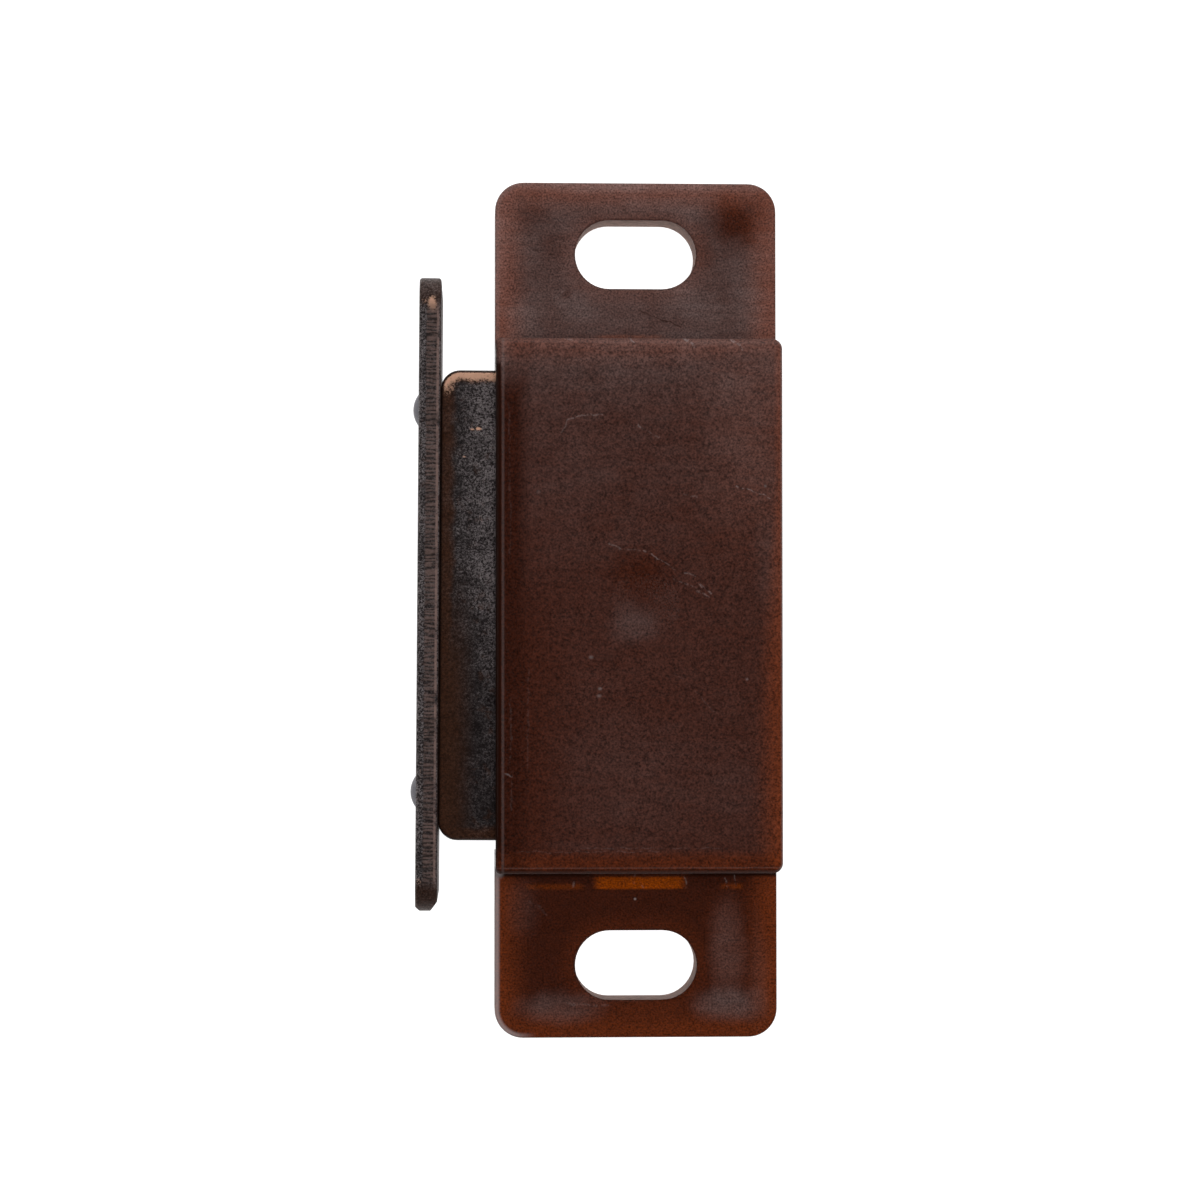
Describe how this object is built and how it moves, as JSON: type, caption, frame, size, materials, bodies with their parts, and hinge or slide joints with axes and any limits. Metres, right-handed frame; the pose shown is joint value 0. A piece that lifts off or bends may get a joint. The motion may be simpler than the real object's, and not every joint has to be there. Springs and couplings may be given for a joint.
{
  "type": "magnetic catch",
  "caption": "Surface-mounted magnetic door catch: moulded case with slotted ears, floating magnet and pole plates, and a steel strike plate held on the poles.",
  "frame": {"origin": "centre of the mounting face of the case, midway between the two screw slots", "axes": "+X into the cupboard and -X towards the door, +Y along the catch, +Z away from the surface that it is screwed to"},
  "size_m": [0.0243, 0.057, 0.0127],
  "materials": {
    "brown_plastic": "satin",
    "pole_steel": "satin",
    "strike_steel": "satin",
    "ferrite": "matte"
  },
  "bodies": {
    "case": {"case": "brown_plastic"},
    "pack": {"upper_pole_plate": "pole_steel", "lower_pole_plate": "pole_steel", "magnet": "ferrite"},
    "strike": {"strike_plate": "strike_steel"}
  },
  "joints": [
    {"name": "pack_rock", "type": "hinge", "parent": "case", "child": "pack", "pos_m": [0, 0, 0.00615], "axis": [0, 0, 1], "range_deg": [-0.95, 1.65]},
    {"name": "strike_pull", "type": "slide", "parent": "pack", "child": "strike", "axis": [-1, 0.0061, 0], "range_m": [0, 0.025]}
  ]
}
